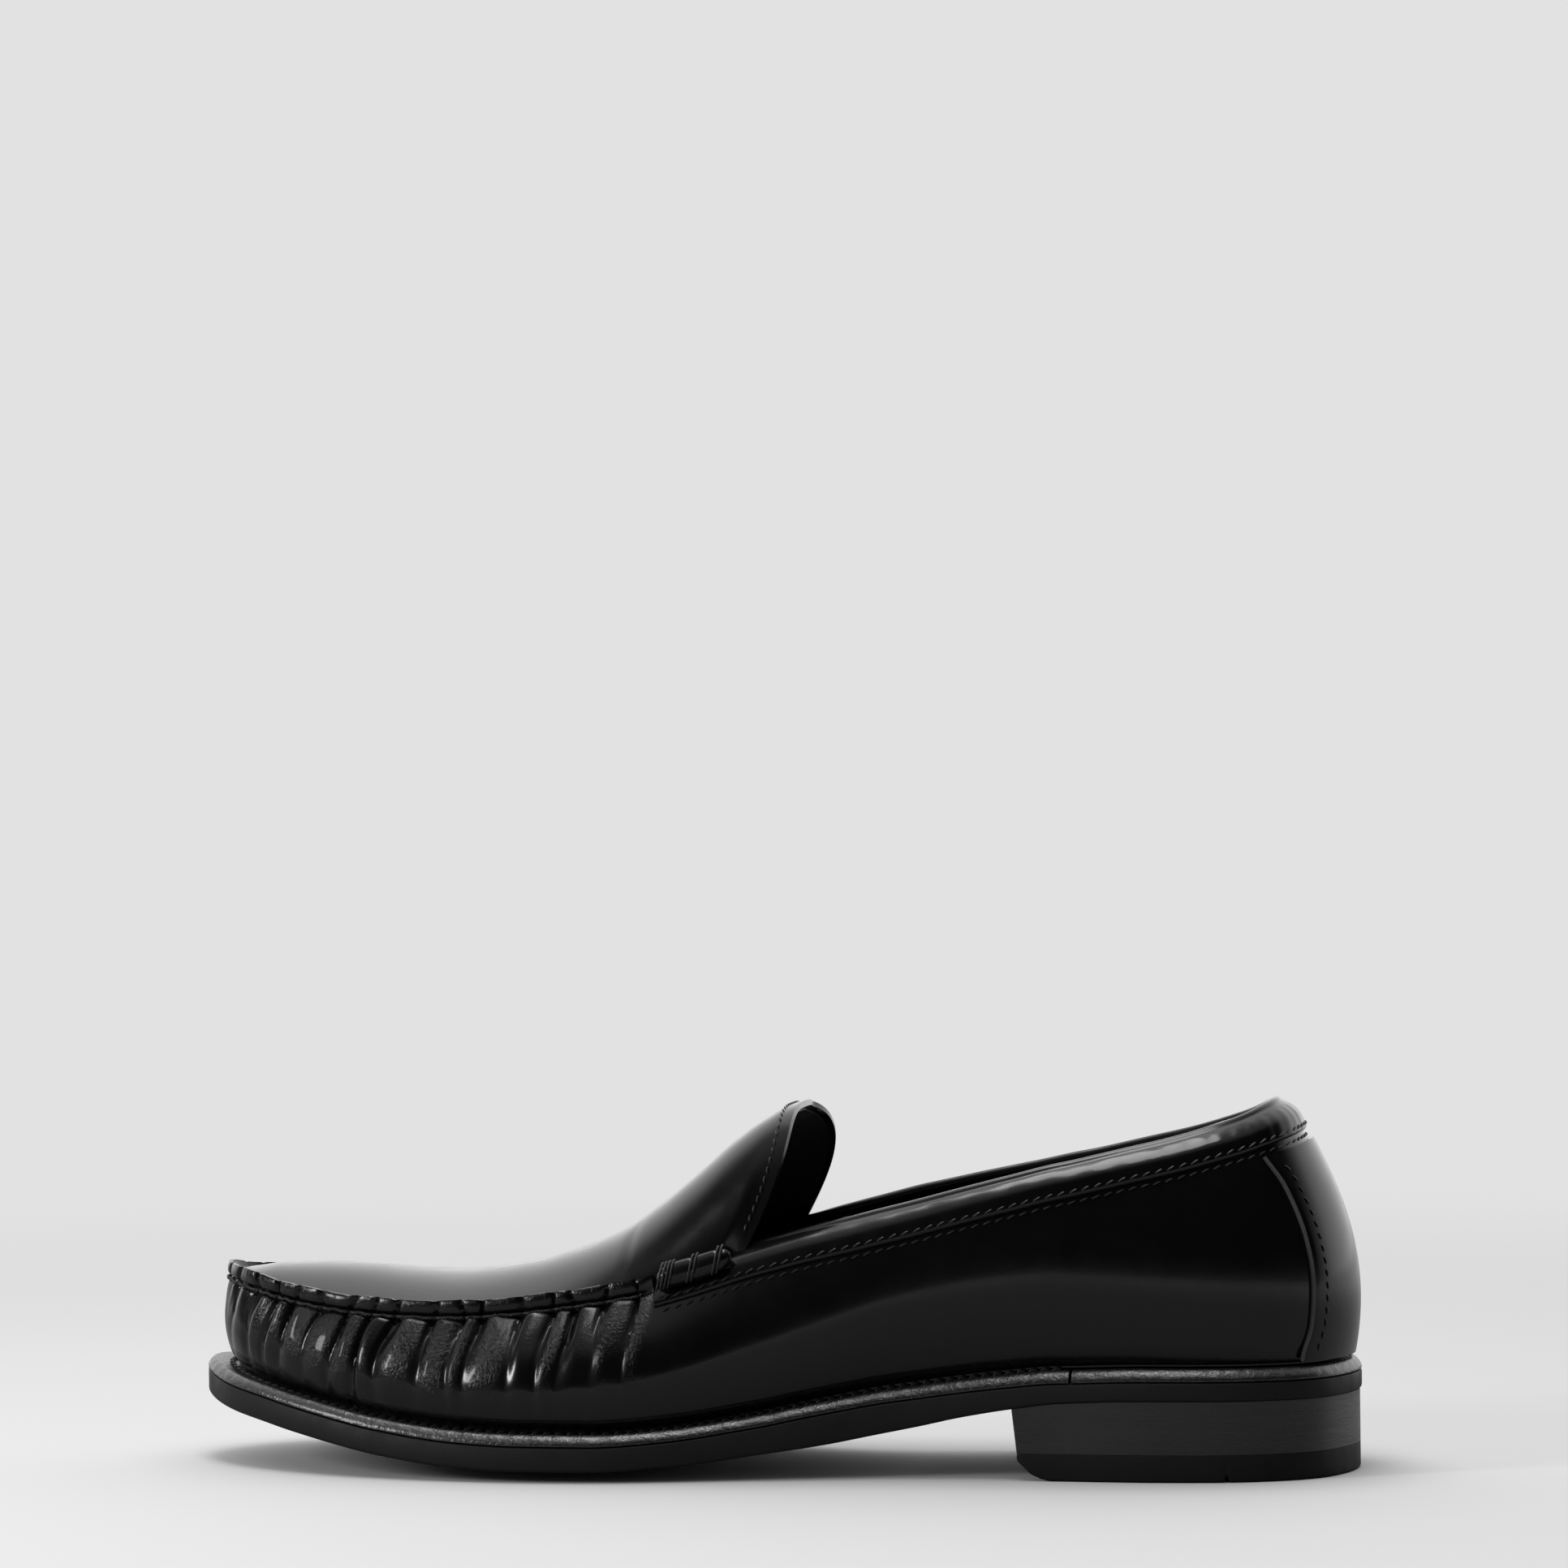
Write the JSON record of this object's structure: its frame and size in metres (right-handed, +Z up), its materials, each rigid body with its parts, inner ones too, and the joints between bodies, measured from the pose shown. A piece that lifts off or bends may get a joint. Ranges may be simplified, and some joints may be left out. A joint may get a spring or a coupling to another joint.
{
  "type": "penny loafer",
  "caption": "Left slip-on loafer with a gathered moccasin toe, plain raised apron and tongue, bound collar, back strap, welted rubber sole and low stacked heel.",
  "frame": {"origin": "ground level, under the centre of the shoe's bounding box", "axes": "+Z up, +X from the toe towards the heel, +Y towards the inner (medial) side of the left foot"},
  "size_m": [0.3, 0.0982, 0.0942],
  "materials": {
    "upper_leather": "polished black box calf with a sharp gloss",
    "lining_leather": "smooth black lining leather, half matt",
    "welt_leather": "black pebbled welting with a waxed edge",
    "stack_leather": "black-stained stacked lifts with fine cut lines, satin",
    "sole_rubber": "matt dark grey-black sole rubber",
    "thread": "waxed black shoe thread",
    "cork": "pressed cork filler",
    "leather_board": "undyed leather board",
    "shank_steel": "blued spring steel strip"
  },
  "bodies": {
    "root": {"outsole": "sole_rubber", "welt": "welt_leather", "heel_rand": "welt_leather", "heel_lift_1": "stack_leather", "heel_lift_2": "stack_leather", "heel_lift_3": "stack_leather", "heel_lift_4": "stack_leather", "top_lift": "sole_rubber", "forepart_filler": "cork", "heel_filler": "cork", "shank": "shank_steel", "insole_board": "leather_board", "sock_liner": "lining_leather", "vamp_wall": "upper_leather", "wall_lining": "lining_leather", "heel_counter": "leather_board", "toe_puff": "leather_board", "apron": "upper_leather", "apron_lining": "lining_leather", "back_strap": "upper_leather", "topline_binding": "upper_leather", "side_roll_lateral": "upper_leather", "side_roll_medial": "upper_leather", "lateral_lashing_1": "thread", "lateral_lashing_2": "thread", "lateral_lashing_3": "thread", "medial_lashing_1": "thread", "medial_lashing_2": "thread", "medial_lashing_3": "thread", "apron_seam_thread": "thread", "collar_thread_upper": "thread", "collar_thread_lower": "thread", "strap_thread_lateral": "thread", "strap_thread_medial": "thread", "tongue_thread": "thread", "welt_thread": "thread"}
  },
  "joints": []
}
